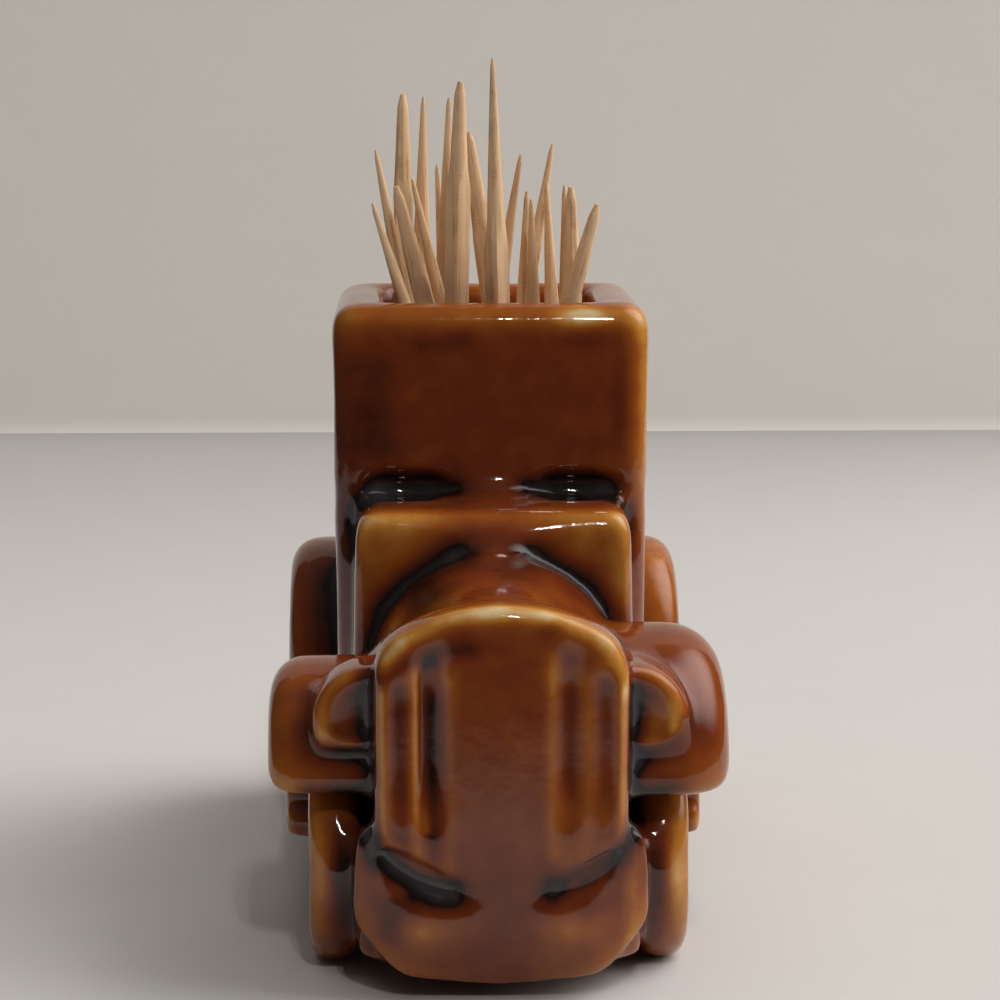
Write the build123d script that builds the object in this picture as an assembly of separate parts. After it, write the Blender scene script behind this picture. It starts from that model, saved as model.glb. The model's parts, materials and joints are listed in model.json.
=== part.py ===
from build123d import *

import os
from math import cos, hypot, radians, sin, sqrt, tan

# A glazed slip-cast vintage car whose open cab holds a bunch of loose wooden toothpicks.
# Millimetres. X is across the car, its nose faces -Y, +Z is up and Z = 0 is the table.

# ---- driving dimensions ----
# Cab: the tall box that is the toothpick well
rim_height = 56.4
cab_foot = 7.0
cab_foot_width = 29.0
cab_rim_width = 29.9
cab_depth = 28.4
cab_corner = 2.6
cab_front = -8.0
rim_round = 2.3
lip_round = 1.2

# Well: the slip-cast hollow, with an inward shoulder under the rim
mouth_width = 19.6
mouth_depth = 18.6
mouth_corner = 1.6
shoulder_drop = 4.5
shoulder_round = 1.4
well_width = 22.4
well_depth = 21.4
floor_height = 4.6
cast_wall = 3.6

# Windows, door lines and the grooves where glaze pools at the windscreen's foot
screen_width = 21.0
window_bottom = 41.0
window_top = 52.2
window_corner = 1.6
window_sink = 0.5
screen_sink = 0.3
door_window = (-4.6, 5.4)
quarter_window = (8.4, 16.6)
rear_window_width = 16.0
door_line = 0.7
door_line_sink = 0.35
door_bottom = 12.5
door_margin = 1.0
belt_height = 39.0

# Grooves where glaze pools, and the mould's seam, which they leave plain
pool_height = 39.4
pool_bore = 1.6
pool_tip = 0.25
pool_start = 2.2
pool_reach = 13.2
pool_drop = 7.0
pool_drop_bore = 0.9
seam_half = 2.6
seam_round = 2.4

# Cowl and bonnet
cowl_front = -17.0
cowl_foot_width = 26.4
cowl_top_width = 25.2
cowl_height = 38.4
cowl_corner = 1.6
cowl_edge = 0.8
bonnet_springing = 24.0
bonnet_rear_width = 24.2
bonnet_rear_height = 35.3
bonnet_nose_width = 21.0
bonnet_nose_height = 33.6
bonnet_nose = -38.6
bead_width = 1.9
bead_sink = 1.0

# Radiator shell and its grille
radiator_face = -42.6
radiator_thickness = 5.2
radiator_width = 21.7
radiator_height = 34.4
radiator_crown = 17.0
radiator_shoulder = 4.0
radiator_chin_side = 14.2
radiator_chin = 10.2
radiator_chin_width = 7.0
radiator_edge = 1.1
grille_rim = 1.3
grille_panel_sink = 0.5
grille_foot = 14.0
# Each groove: how far out, how wide, how deep and how high; the left ones came out deeper
left_grooves = ((9.0, 1.4, 1.4, 28.0), (6.5, 2.2, 1.9, 30.6))
right_grooves = ((8.7, 1.7, 1.3, 28.4), (5.6, 1.7, 1.4, 30.8))

# Apron under the radiator
apron_face = -42.6
apron_rear = -36.0
apron_bow = 40.0
apron_tip_width = 24.4
apron_tip_height = 14.8
apron_tip = 0.9
apron_width = 25.8
apron_waist_height = 7.0
apron_keel_width = 17.0
apron_keel_height = 1.9
apron_bottom = 1.0
apron_crest = 9.4
apron_hollow = (8.6, 11.0)
apron_corner = 3.5
apron_roll = 13.0
apron_roll_height = 8.5

# Chassis and running boards
chassis_width = 24.6
chassis_bottom = 2.4
chassis_top = 13.0
chassis_front = -37.5
chassis_rear = 39.0
chassis_corner = 1.5
board_width = 38.4
board_top = 10.6
board_thickness = 2.6
board_corner = 0.6
board_overlap = 4.0
front_tail_end = -10.0
rear_tail_end = 9.0

# Wheels
wheel_radius = 9.4
ground_flat = 0.3
wheel_outer_width = 33.5
tyre_width = 4.6
tyre_round = 1.7
tyre_break = 1.0
rim_radius = 6.5
rim_dish = 0.9
hub_radius = 1.9
hub_proud = 0.7
spoke_count = 8
spoke_width = 0.8
front_axle = -26.0
rear_axle = 26.0

# Wings over the wheels
wing_width = 40.2
wing_root_width = 20.0
arch_gap = 0.8
front_wing_radius = 10.9
front_wing_centre = (-25.2, 15.9)
front_wing_lip = 16.4
left_wing_round = 3.2
right_wing_rise = 2.8
right_wing_round = 5.0
rear_wing_radius = 12.6
rear_wing_centre = (26.6, 16.4)
rear_wing_lip = 10.0
rear_wing_round = 3.0
lip_edge = 1.5
tail_start = 15.0
tail_round = 1.6

# Headlamps
lamp_radius = 5.1
lamp_reach = 11.1
lamp_height = 23.3
lamp_front = -37.8
lamp_rear = -31.0
lamp_sill = 21.0
lamp_edge = 0.8
lamp_dish = 0.8

# Boot and spare wheel behind the cab
boot_width = 25.0
boot_top = 30.0
boot_rear = 40.4
boot_rear_height = 21.0
boot_round = 3.0
boot_edge = 2.4
boot_shelf = 7.0
spare_tyre_radius = 7.4
spare_rim_radius = 4.1
spare_edge = 1.2
spare_height = 18.6
spare_proud = 2.2

# Toothpicks: square in the middle, tapered to a blunt end and to a sharp one
pick_side = 2.2
pick_edge = 0.25
pick_length = 62.0
blunt_taper = 11.0
blunt_tip = 1.0
sharp_taper = 19.0
sharp_tip = 0.45
tip_nose = 0.35
pick_clearance = 0.15
wall_clearance = 0.25
foot_gap = 0.3
exit_gap = 1.5
lean_allowance = 1.04

# How the bunch settles: it gives way in depth sooner than across, and keeps one corner free
settle_turns = 1500
settled = 0.004
wish_pull = 0.02
rim_give = 0.5
give_across = 0.3
give_deep = 1.1
free_place = (-7.9, -7.2)
free_radius = 3.1
free_bottom = 7.0
free_top = 40.0

# How the toothpicks were dropped in: across and deep at the rim in per cent of the way from the
# well's middle to the mouth's edge, lean to the right and to the back in degrees, height of the
# tip over the rim in per cent of a toothpick, turn about its own axis in degrees, which end is
# up, and how firmly it keeps its place when the others push.
BLUNT, SHARP = "blunt", "sharp"
FIRM, WEDGED, LOOSE = 0.2, 0.5, 1.0
dropped_in = [
    (-34, -52, 1, 0, 32.7, 40, BLUNT, FIRM),
    (6, -52, -1, 0, 36.3, 40, SHARP, FIRM),
    (-68, 31, 0, 0, 30.5, 4, BLUNT, WEDGED),
    (-57, 58, 0, 0, 30.0, 3, SHARP, WEDGED),
    (-45, 31, 0, 0, 30.0, 3, SHARP, WEDGED),
    (-81, 58, 0, 0, 24.5, 6, SHARP, WEDGED),
    (0, -11, -6, 0, 24.7, 5, BLUNT, WEDGED),
    (-83, -82, -18, 1, 14.4, 4, SHARP, FIRM),
    (-83, -53, -17, -10, 16.8, 3, BLUNT, WEDGED),
    (-83, 3, -11, -2, 22.1, 5, SHARP, WEDGED),
    (-83, 82, -8, 2, 19.2, 2, SHARP, LOOSE),
    (-55, -25, -14, -11, 17.7, 6, SHARP, WEDGED),
    (10, 82, 10, 0, 20.8, 8, SHARP, LOOSE),
    (35, 81, 10, 0, 22.6, 2, SHARP, WEDGED),
    (33, -15, 2, -16, 15.5, 6, SHARP, LOOSE),
    (43, -48, -2, -17, 14.2, 5, SHARP, FIRM),
    (65, 16, -3, -13, 16.8, 4, SHARP, LOOSE),
    (83, -28, 0, -14, 15.6, 5, BLUNT, WEDGED),
    (78, 65, 0, 0, 13.5, 5, SHARP, LOOSE),
    (83, -77, 15, -10, 13.9, 8, BLUNT, FIRM),
]

# ---- values worked out from them ----
cab_middle = cab_front + cab_depth / 2
well_middle = cab_middle
axle_height = wheel_radius - ground_flat
wheel_face = wheel_outer_width / 2
cab_rear = cab_front + cab_depth
bonnet_fall = (bonnet_rear_height - bonnet_nose_height) / (cab_front - bonnet_nose)
bonnet_crown = bonnet_rear_height - bonnet_fall * (cab_front - cowl_front)
well_drop = rim_height - floor_height
mouth_foot = rim_height - shoulder_drop - shoulder_round
pick_reach = hypot(pick_side / 2, pick_side / 2 - pick_edge)
LEFT, RIGHT = -1, 1


def facing(outline, rear, front):
    """A solid whose outline is seen from the car's nose, between two places along its length."""
    return extrude(Plane.XZ.offset(-rear) * outline, amount=rear - front)


def sideways(outline, inner, outer, side):
    """A solid whose outline is seen from the side, between two distances from the middle."""
    reach = Plane.YZ.offset(inner) * outline
    solid = extrude(reach, amount=outer - inner)
    return solid if side == RIGHT else mirror(solid, about=Plane.YZ)


def outer_edges(solid, axis, side):
    """The edges of the flat face that lies furthest out along an axis."""
    return solid.faces().sort_by(axis)[-1 if side == RIGHT else 0].edges()


def slab(width, depth, corner, middle, bottom, top):
    """An upright block with rounded corners."""
    plan = Pos(0, middle, bottom) * RectangleRounded(width, depth, corner)
    return extrude(plan, amount=top - bottom)


def cab():
    """The tall cab, a little wider at the rim, with a soft outer rim."""
    foot = Pos(0, cab_middle, cab_foot) * RectangleRounded(cab_foot_width, cab_depth, cab_corner)
    rim = Pos(0, cab_middle, rim_height) * RectangleRounded(cab_rim_width, cab_depth, cab_corner)
    box = loft([foot.face(), rim.face()], ruled=True)
    return fillet(box.faces().sort_by(Axis.Z)[-1].edges(), rim_round)


def bonnet_arch(width, height, place, foot):
    """The bonnet's section: upright sides under half an ellipse."""
    half = width / 2
    with BuildLine() as outline:
        Line((half, bonnet_springing), (half, foot))
        Line((half, foot), (-half, foot))
        Line((-half, foot), (-half, bonnet_springing))
        EllipticalCenterArc((0, bonnet_springing), half, height - bonnet_springing, arc_size=180)
    return (Plane.XZ.offset(-place) * make_face(outline.line)).face()


def bonnet(inset, rear, nose, foot):
    """The bonnet, or with an inset the hollow inside it, which narrows towards the nose."""
    rear_arch = bonnet_arch(bonnet_rear_width - 2 * inset, bonnet_rear_height - inset, rear, foot)
    nose_arch = bonnet_arch(bonnet_nose_width - 2 * inset, bonnet_nose_height - inset, nose, foot)
    return loft([rear_arch, nose_arch], ruled=True)


def cowl():
    """The scuttle between cab and bonnet, narrower at the top, with broken corners."""
    outline = Polygon(
        (-cowl_foot_width / 2, chassis_top),
        (cowl_foot_width / 2, chassis_top),
        (cowl_top_width / 2, cowl_height),
        (-cowl_top_width / 2, cowl_height),
        align=None,
    )
    outline = fillet(outline.vertices().group_by(Axis.Y)[-1], cowl_corner)
    solid = facing(outline, cab_front + cab_corner, cowl_front)
    front = outer_edges(solid, Axis.Y, LEFT)
    return fillet(front.filter_by(lambda e: e.center().Z > chassis_top), cowl_edge)


def radiator_outline():
    """The shell's shield: a crowned top, upright sides and a chin."""
    half = radiator_width / 2
    shoulder = radiator_height - radiator_crown + sqrt(radiator_crown**2 - half**2)
    chin = radiator_chin_width / 2
    with BuildLine() as outline:
        ThreePointArc((-half, shoulder), (0, radiator_height), (half, shoulder))
        Polyline(
            (half, shoulder), (half, radiator_chin_side), (chin, radiator_chin),
            (-chin, radiator_chin), (-half, radiator_chin_side), (-half, shoulder),
        )
    shield = make_face(outline.line)
    shoulders = shield.vertices().filter_by(lambda v: abs(v.Y - shoulder) < 0.01)
    return fillet(shoulders, radiator_shoulder)


def radiator():
    """The radiator shell: a raised rim, a sunk panel each side of the plain seam strip, and the
    upright grooves in the panels."""
    shell = facing(radiator_outline(), radiator_face + radiator_thickness, radiator_face)
    shell = fillet(outer_edges(shell, Axis.Y, LEFT), radiator_edge)
    inside = offset(radiator_outline(), -grille_rim)
    beside_the_seam = Rectangle(radiator_width, 3 * radiator_height)
    for side, grooves in ((LEFT, left_grooves), (RIGHT, right_grooves)):
        panel = inside & Pos(side * (seam_half + radiator_width / 2), 0) * beside_the_seam
        shell -= facing(panel, radiator_face + grille_panel_sink, radiator_face - 1)
        for place, width, sink, top in grooves:
            length = top - grille_foot
            groove = Pos(side * place, grille_foot + length / 2) * SlotOverall(length, width, rotation=90)
            shell -= facing(groove, radiator_face + sink, radiator_face - 1)
    return shell


def apron():
    """The bowed apron, rounded below: it joins the chin in the middle and stands up in a tip each
    side, with a crescent hollow between tip and chin."""
    tip, waist, keel = apron_tip_width / 2, apron_width / 2, apron_keel_width / 2
    with BuildLine() as outline:
        Polyline(
            (0, apron_bottom), (keel, apron_keel_height), (waist, apron_waist_height),
            (tip, apron_tip_height), (tip - apron_tip, apron_tip_height),
        )
        ThreePointArc((tip - apron_tip, apron_tip_height), apron_hollow, (seam_half, apron_crest))
        Polyline((seam_half, apron_crest), (seam_half, radiator_chin), (0, radiator_chin))
        mirror(about=Plane.YZ)
    sheet = make_face(outline.line)
    corners = sheet.vertices().filter_by(lambda v: v.Y in (apron_keel_height, apron_waist_height))
    sheet = fillet(corners, apron_corner)
    bow = Pos(0, apron_face + apron_bow) * Cylinder(apron_bow, 2 * rim_height)
    roll = Rot(0, 90, 0) * Cylinder(apron_roll, 2 * apron_width)
    roll = Pos(0, apron_face + apron_roll, apron_roll_height) * roll
    return facing(sheet, apron_rear, apron_face - 1) & bow & roll


def wheel(axle, side):
    """A spoked wheel against the chassis: the tyre round outside and broken inside, the foot
    ground flat."""
    inner = wheel_face - tyre_width
    section = Pos((inner + wheel_face) / 2, wheel_radius / 2) * Rectangle(tyre_width, wheel_radius)
    tread = section.vertices().group_by(Axis.Y)[-1].sort_by(Axis.X)
    section = chamfer(tread[0], tyre_break)
    section = fillet(section.vertices().group_by(Axis.Y)[-1].sort_by(Axis.X)[-1], tyre_round)
    dish = Pos(wheel_face - rim_dish / 2, rim_radius / 2) * Rectangle(rim_dish, rim_radius)
    hub = Pos(wheel_face - rim_dish, hub_radius / 2) * Rectangle(2 * hub_proud, hub_radius)
    turned = revolve(Plane.XY * (section - dish + hub), Axis.X)
    spoke_length = rim_radius
    spoke = Pos(wheel_face - rim_dish, 0, spoke_length / 2) * Box(rim_dish, spoke_width, spoke_length)
    for number in range(spoke_count):
        turned += Rot(360 / spoke_count * number, 0, 0) * spoke
    placed = Pos(0, axle, axle_height) * turned
    ground = Pos(0, axle, 0) * Box(2 * wing_width, 4 * wheel_radius, 2 * wheel_radius,
                                   align=(Align.CENTER, Align.CENTER, Align.MAX))
    placed -= ground
    return placed if side == RIGHT else mirror(placed, about=Plane.YZ)


def wing(side, axle, centre, radius, softness, lip, board_end):
    """A wing over a wheel: a rounded drum for the crown, cut off at its lip, a tail that sweeps
    down to the running board, and the wheel arch cut out of both."""
    y, z = centre
    root, face = wing_root_width / 2, wing_width / 2
    section = Pos((root + face) / 2, radius / 2) * Rectangle(face - root, radius)
    section = fillet(section.vertices().group_by(Axis.Y)[-1].sort_by(Axis.X)[-1], softness)
    crown = Pos(0, y, z) * revolve(section, Axis.X)
    below = Pos(0, y, lip) * Box(3 * face, 3 * radius, 3 * radius,
                                 align=(Align.CENTER, Align.CENTER, Align.MAX))
    crown -= below
    rim = crown.faces().sort_by(Axis.Z)[0].edges().filter_by(lambda e: e.center().X > root + lip_edge)
    crown = fillet(rim, lip_edge)
    inward = 1 if board_end > y else -1
    start = (y + inward * radius * cos(radians(tail_start)), z + radius * sin(radians(tail_start)))
    sag = ((2 * start[0] + board_end) / 3, (start[1] + 2 * board_top) / 3)
    board_foot = board_top - board_thickness
    with BuildLine() as sweep_line:
        ThreePointArc(start, sag, (board_end, board_top))
        Polyline((board_end, board_top), (board_end, board_foot), (y, board_foot), (y, start[1]), start)
    tail = extrude(Plane.YZ.offset(root) * make_face(sweep_line.line), amount=board_width / 2 - root)
    crest = tail.faces().sort_by(Axis.X)[-1].edges().filter_by(GeomType.CIRCLE)
    tail = fillet(crest, tail_round)
    arch = Pos(0, axle, axle_height) * Rot(0, 90, 0) * Cylinder(wheel_radius + arch_gap, 3 * face)
    solid = crown + tail - arch
    return solid if side == RIGHT else mirror(solid, about=Plane.YZ)


def front_wing(side):
    """A front wing. The right one stands a little higher and rounder than the left."""
    y, z = front_wing_centre
    lift = right_wing_rise / 2 if side == RIGHT else 0
    softness = right_wing_round if side == RIGHT else left_wing_round
    radius = front_wing_radius + lift
    return wing(side, front_axle, (y, z + lift), radius, softness, front_wing_lip, front_tail_end)


def rear_wing(side):
    """A rear wing, taller than the front one, with a steep front."""
    radius, softness = rear_wing_radius, rear_wing_round
    return wing(side, rear_axle, rear_wing_centre, radius, softness, rear_wing_lip, rear_tail_end)


def running_boards():
    """The two running boards, one block under the cab between the wings."""
    middle = (front_wing_centre[0] + rear_wing_centre[0]) / 2
    length = rear_axle - front_axle - 2 * (wheel_radius + arch_gap)
    board_foot = board_top - board_thickness
    return slab(board_width, length + board_overlap, board_corner, middle, board_foot, board_top)


def chassis():
    """The sides and floor of the car between the wheels."""
    middle = (chassis_front + chassis_rear) / 2
    length = chassis_rear - chassis_front
    return slab(chassis_width, length, chassis_corner, middle, chassis_bottom, chassis_top)


def headlamp(side):
    """A round lamp with a flat sill, its face dished a little."""
    disc = Pos(side * lamp_reach, lamp_height) * Circle(lamp_radius)
    sill = Pos(side * lamp_reach, lamp_sill) * Rectangle(4 * lamp_radius, 4 * lamp_radius,
                                                        align=(Align.CENTER, Align.MAX))
    solid = facing(disc - sill, lamp_rear, lamp_front)
    solid = fillet(outer_edges(solid, Axis.Y, LEFT), lamp_edge)
    dish = Pos(side * lamp_reach, lamp_height) * Circle(lamp_radius - 2 * lamp_edge)
    return solid - facing(dish - Pos(0, lamp_edge) * sill, lamp_front + lamp_dish, lamp_front - 1)


def boot_block(inset):
    """The boot's sloping block, or with an inset the hollow inside it."""
    start = well_middle
    foot = floor_height
    rear, top = boot_rear - inset, boot_top - inset
    outline = Polygon(
        (start, foot), (rear, foot), (rear, boot_rear_height - inset),
        (cab_rear + boot_shelf, top), (start, top),
        align=None,
    )
    corners = outline.vertices().filter_by(lambda v: v.X > cab_rear and v.Y > board_top)
    outline = fillet(corners, boot_round)
    half = boot_width / 2 - inset
    solid = sideways(outline, -half, half, RIGHT)
    if inset:
        return solid
    for side in (LEFT, RIGHT):
        upper = outer_edges(solid, Axis.X, side).filter_by(lambda e: e.center().Z > board_top)
        solid = fillet(upper.filter_by(lambda e: e.center().Y > well_middle + 0.1), boot_edge)
    return solid


def spare_wheel():
    """The spare wheel on the back of the boot, its middle sunk."""
    face = boot_rear + spare_proud
    bottom = face - rim_dish
    tyre = facing(Pos(0, spare_height) * Circle(spare_tyre_radius), face, boot_rear - cast_wall)
    tyre = fillet(outer_edges(tyre, Axis.Y, RIGHT), spare_edge)
    middle = facing(Pos(0, spare_height) * Circle(spare_rim_radius), face + 1, bottom)
    hub = facing(Pos(0, spare_height) * Circle(hub_radius), bottom + hub_proud, bottom - rim_dish)
    return tyre - middle + hub


def glazing():
    """The shallow sunk windscreen, side windows, rear window and door lines."""
    height = window_top - window_bottom
    level = (window_top + window_bottom) / 2
    screen = Pos(0, level) * RectangleRounded(screen_width, height, window_corner)
    rear = Pos(0, level) * RectangleRounded(rear_window_width, height, window_corner)
    cuts = facing(screen, cab_front + screen_sink, cab_front - 1)
    cuts += facing(rear, cab_rear + 1, cab_rear - window_sink)
    for start, end in (door_window, quarter_window):
        pane = Pos((start + end) / 2, level) * RectangleRounded(end - start, height, window_corner)
        cuts += sideways(pane, cab_rim_width / 2 - window_sink, cab_rim_width, RIGHT)
        cuts += sideways(pane, cab_rim_width / 2 - window_sink, cab_rim_width, LEFT)
    start, end = door_window[0] - door_margin, door_window[1] + door_margin
    door_height = belt_height - door_bottom
    door = Pos((start + end) / 2, (belt_height + door_bottom) / 2) * RectangleRounded(
        end - start, door_height, window_corner
    )
    line = door - offset(door, -door_line)
    for side in (LEFT, RIGHT):
        cuts += sideways(line, cab_foot_width / 2 - door_line_sink, cab_rim_width, side)
    return cuts


def spindle(start, end, bore):
    """A cutter for a groove that is widest in its middle and narrows to a blunt tip each way."""
    third = (end - start) / 3
    outline = Polygon(
        (start, 0), (end, 0), (end, pool_tip), (end - third, bore), (start + third, bore),
        (start, pool_tip), align=None,
    )
    return revolve(outline, Axis.X)


def pools():
    """The two grooves at the windscreen's foot, each with a turn down beside the cowl."""
    groove = Pos(0, cab_front, pool_height) * spindle(pool_start, pool_reach, pool_bore)
    drop = Rot(0, 90, 0) * spindle(0, pool_drop, pool_drop_bore)
    groove += Pos(cowl_foot_width / 2, cab_front, pool_height) * drop
    return groove + mirror(groove, about=Plane.YZ)


def seam_fill(place, height):
    """The soft fill that the mould's seam leaves where a level top meets an upright face."""
    rise, run = height + seam_round, place - seam_round
    middle = (place - seam_round * (1 - sqrt(0.5)), height + seam_round * (1 - sqrt(0.5)))
    with BuildLine() as outline:
        ThreePointArc((run, height), middle, (place, rise))
        Polyline(
            (place, rise), (place + seam_round, rise), (place + seam_round, height - seam_round),
            (run, height - seam_round), (run, height),
        )
    return sideways(make_face(outline.line), -seam_half, seam_half, RIGHT)


def bead():
    """The groove round the bonnet where it meets the cowl, left out at the seam."""
    outer_width, outer_height = bonnet_rear_width + 2 * bead_sink, bonnet_rear_height + bead_sink
    inner_width, inner_height = bonnet_rear_width - 2 * bead_sink, bonnet_rear_height - bead_sink
    outer = bonnet_arch(outer_width, outer_height, cowl_front, board_top)
    inner = bonnet_arch(inner_width, inner_height, cowl_front, board_top)
    ring = extrude(outer - inner, amount=bead_width)
    seam = Pos(0, cowl_front, bonnet_rear_height) * Box(2 * seam_half, 4 * bead_width, bonnet_springing)
    return ring - seam


def well():
    """The hollow that the slip left: mouth, cab, bonnet and boot, with a rounded lip."""
    mouth = slab(mouth_width, mouth_depth, mouth_corner, well_middle, mouth_foot, rim_height)
    throat = RectangleRounded(mouth_width, mouth_depth, mouth_corner)
    flare_width, flare_depth = mouth_width + 2 * lip_round, mouth_depth + 2 * lip_round
    flare = RectangleRounded(flare_width, flare_depth, mouth_corner + lip_round)
    throat = Pos(0, well_middle, rim_height - lip_round) * throat
    flare = Pos(0, well_middle, rim_height + lip_round / 2) * flare
    mouth += loft([throat.face(), flare.face()], ruled=True)
    room = slab(well_width, well_depth, mouth_corner, well_middle, floor_height, rim_height - shoulder_drop)
    room = fillet(room.faces().sort_by(Axis.Z)[-1].edges(), shoulder_round)
    under_bonnet = bonnet(cast_wall, well_middle, bonnet_nose + cast_wall, floor_height)
    under_boot = boot_block(cast_wall)
    return mouth + room + under_bonnet + under_boot


def car_body():
    """The whole one-piece casting."""
    body = cab() + cowl() + bonnet(0, cab_front, bonnet_nose, chassis_bottom)
    body += seam_fill(cab_front, cowl_height)
    body += seam_fill(cowl_front, bonnet_crown)
    body += radiator()
    body += chassis()
    body += apron()
    body += running_boards()
    body += boot_block(0) + spare_wheel()
    for side in (LEFT, RIGHT):
        body += front_wing(side)
        body += rear_wing(side)
        body += headlamp(side)
        body += wheel(front_axle, side)
        body += wheel(rear_axle, side)
    body -= well()
    body -= glazing()
    body -= pools()
    body -= bead()
    return body


class Stick:
    """One toothpick's axis, held by where it crosses the rim's level and the floor's level."""

    def __init__(self, across, deep, lean_right, lean_back, rise, turn, end_up, push_share):
        self.rim = [across / 100 * mouth_width / 2, deep / 100 * mouth_depth / 2]
        leans = (lean_right, lean_back)
        self.foot = [place - well_drop * tan(radians(lean)) for place, lean in zip(self.rim, leans)]
        self.rise = rise / 100 * pick_length
        self.turn, self.end_up, self.push_share = turn, end_up, push_share
        self.wished = [self.rim[0], self.foot[0]]

    def slant(self):
        """How much of the axis is upright, from 0 to 1."""
        sideways_run = hypot(self.rim[0] - self.foot[0], self.rim[1] - self.foot[1])
        return well_drop / hypot(well_drop, sideways_run)

    def foot_height(self):
        """The height of the lower end, never in the floor."""
        wished = rim_height + self.rise - pick_length * self.slant()
        return max(wished, floor_height + foot_gap)

    def travel(self):
        """How far the toothpick slides along its axis to come clear of the rim."""
        return (rim_height + exit_gap - self.foot_height()) / self.slant()

    def top_height(self):
        """The height of the tip when the toothpick is drawn right out."""
        return self.foot_height() + (pick_length + self.travel()) * self.slant()

    def place(self, height):
        """Where the axis is at a height, from the well's middle."""
        share = (height - floor_height) / well_drop
        return [self.rim[k] * share + self.foot[k] * (1 - share) for k in (0, 1)]

    def push(self, height, across, deep):
        """Shifts the axis at one height, with the rim end the stiffer of the two."""
        share = (height - floor_height) / well_drop
        total = rim_give * share**2 + (1 - share) ** 2
        for k, shift in enumerate((across, deep)):
            self.rim[k] += shift * share * rim_give / total
            self.foot[k] += shift * (1 - share) / total

    def reach(self, way):
        """How far the square section reaches from the axis in a direction."""
        length, turn = hypot(*way), radians(self.turn)
        along = abs(way[0] * cos(turn) + way[1] * sin(turn)) / length
        over = abs(way[1] * cos(turn) - way[0] * sin(turn)) / length
        return max(along, over) * pick_side / 2 + min(along, over) * (pick_side / 2 - pick_edge)

    def stay(self, height, left, right, front, back):
        """Pushes the axis back inside a wall, and says how far it was outside."""
        gap = pick_reach + wall_clearance
        across, deep = self.place(height)
        x = max(left + gap - across, 0) - max(across - right + gap, 0)
        y = max(front + gap - deep, 0) - max(deep - back + gap, 0)
        self.push(height, x, y)
        return max(abs(x), abs(y))


def nearest(one, other):
    """The height where two axes come nearest, and the way from the other to the first there."""
    low = max(one.foot_height(), other.foot_height())
    high = min(one.top_height(), other.top_height())
    at_low = [a - b for a, b in zip(one.place(low), other.place(low))]
    at_high = [a - b for a, b in zip(one.place(high), other.place(high))]
    run = [b - a for a, b in zip(at_low, at_high)]
    length = run[0] ** 2 + run[1] ** 2
    share = -(at_low[0] * run[0] + at_low[1] * run[1]) / length if length else 0
    share = min(max(share, 0), 1)
    return low + share * (high - low), [a + share * r for a, r in zip(at_low, run)]


def inside_the_well(stick):
    """Keeps one axis inside mouth, cab and hollows, and says how far it was outside."""
    side, depth = well_width / 2, well_depth / 2
    open_side = bonnet_nose_width / 2 - cast_wall - pick_reach
    foot = stick.foot_height()
    between = abs(stick.place(foot)[0]) < open_side
    front = bonnet_nose + 2 * cast_wall - well_middle if between else -depth
    back = boot_rear - 2 * cast_wall - well_middle if between else depth
    far = cab_depth + boot_rear
    return max(
        stick.stay(rim_height, -mouth_width / 2, mouth_width / 2, -mouth_depth / 2, mouth_depth / 2),
        stick.stay(mouth_foot, -mouth_width / 2, mouth_width / 2, -mouth_depth / 2, mouth_depth / 2),
        stick.stay(bonnet_nose_height - cast_wall, -side, side, -depth, far),
        stick.stay(boot_top - cast_wall, -side, side, -far, depth),
        stick.stay(foot, -side, side, front, back),
    )


def outside_the_corner(stick):
    """Keeps one axis out of the free corner, and says how far it was inside."""
    worst = 0
    for height in (free_top, (free_top + free_bottom) / 2, free_bottom):
        way = [a - b for a, b in zip(stick.place(height), free_place)]
        inside = free_radius + pick_reach - hypot(*way)
        if inside > 0:
            stick.push(height, way[0] * inside / hypot(*way), way[1] * inside / hypot(*way))
            worst = max(worst, inside)
    return worst


def settle():
    """Lets the dropped toothpicks push each other apart until every pair is clear at rest and
    while it is drawn out. They give way in depth sooner than across."""
    sticks = [Stick(*row) for row in dropped_in]
    for turn in range(settle_turns):
        pull = wish_pull * max(0, 1 - turn / (settle_turns * 0.6))
        worst = 0
        for number, one in enumerate(sticks):
            one.rim[0] += (one.wished[0] - one.rim[0]) * pull / one.push_share
            one.foot[0] += (one.wished[1] - one.foot[0]) * pull / one.push_share
            for other in sticks[number + 1:]:
                height, way = nearest(one, other)
                apart = hypot(*way)
                spacing = (one.reach(way) + other.reach(way) + pick_clearance) * lean_allowance
                if apart < spacing:
                    short = (spacing - apart) / apart
                    share = one.push_share / (one.push_share + other.push_share)
                    x, y = way[0] * short * give_across, way[1] * short * give_deep
                    one.push(height, x * share, y * share)
                    other.push(height, x * (share - 1), y * (share - 1))
                    worst = max(worst, spacing - apart)
            worst = max(worst, outside_the_corner(one), inside_the_well(one))
        if pull == 0 and worst < settled:
            break
    print("settled after", turn, "turns, worst", round(worst, 4))
    return sticks


def toothpick():
    """One toothpick, upright on its blunt end."""

    def section(height, side):
        square = Rectangle(side, side)
        square = chamfer(square.vertices(), side * pick_edge / pick_side)
        return (Pos(0, 0, height) * square).face()

    levels = [
        (0, blunt_tip / 2), (tip_nose, blunt_tip), (blunt_taper, pick_side),
        (pick_length - sharp_taper, pick_side), (pick_length - tip_nose, sharp_tip),
        (pick_length, sharp_tip / 2),
    ]
    return loft([section(height, side) for height, side in levels], ruled=True)


def placed(pick, stick):
    """A toothpick on its settled axis, with the end up that it was dropped with."""
    if stick.end_up == BLUNT:
        pick = Pos(0, 0, pick_length) * Rot(180, 0, 0) * pick
    height = stick.foot_height()
    across, deep = stick.place(height)
    seat = Plane(origin=(across, deep + well_middle, height), x_dir=(1, 0, 0), z_dir=axis_of(stick))
    return seat * Rot(0, 0, stick.turn) * pick


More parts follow.
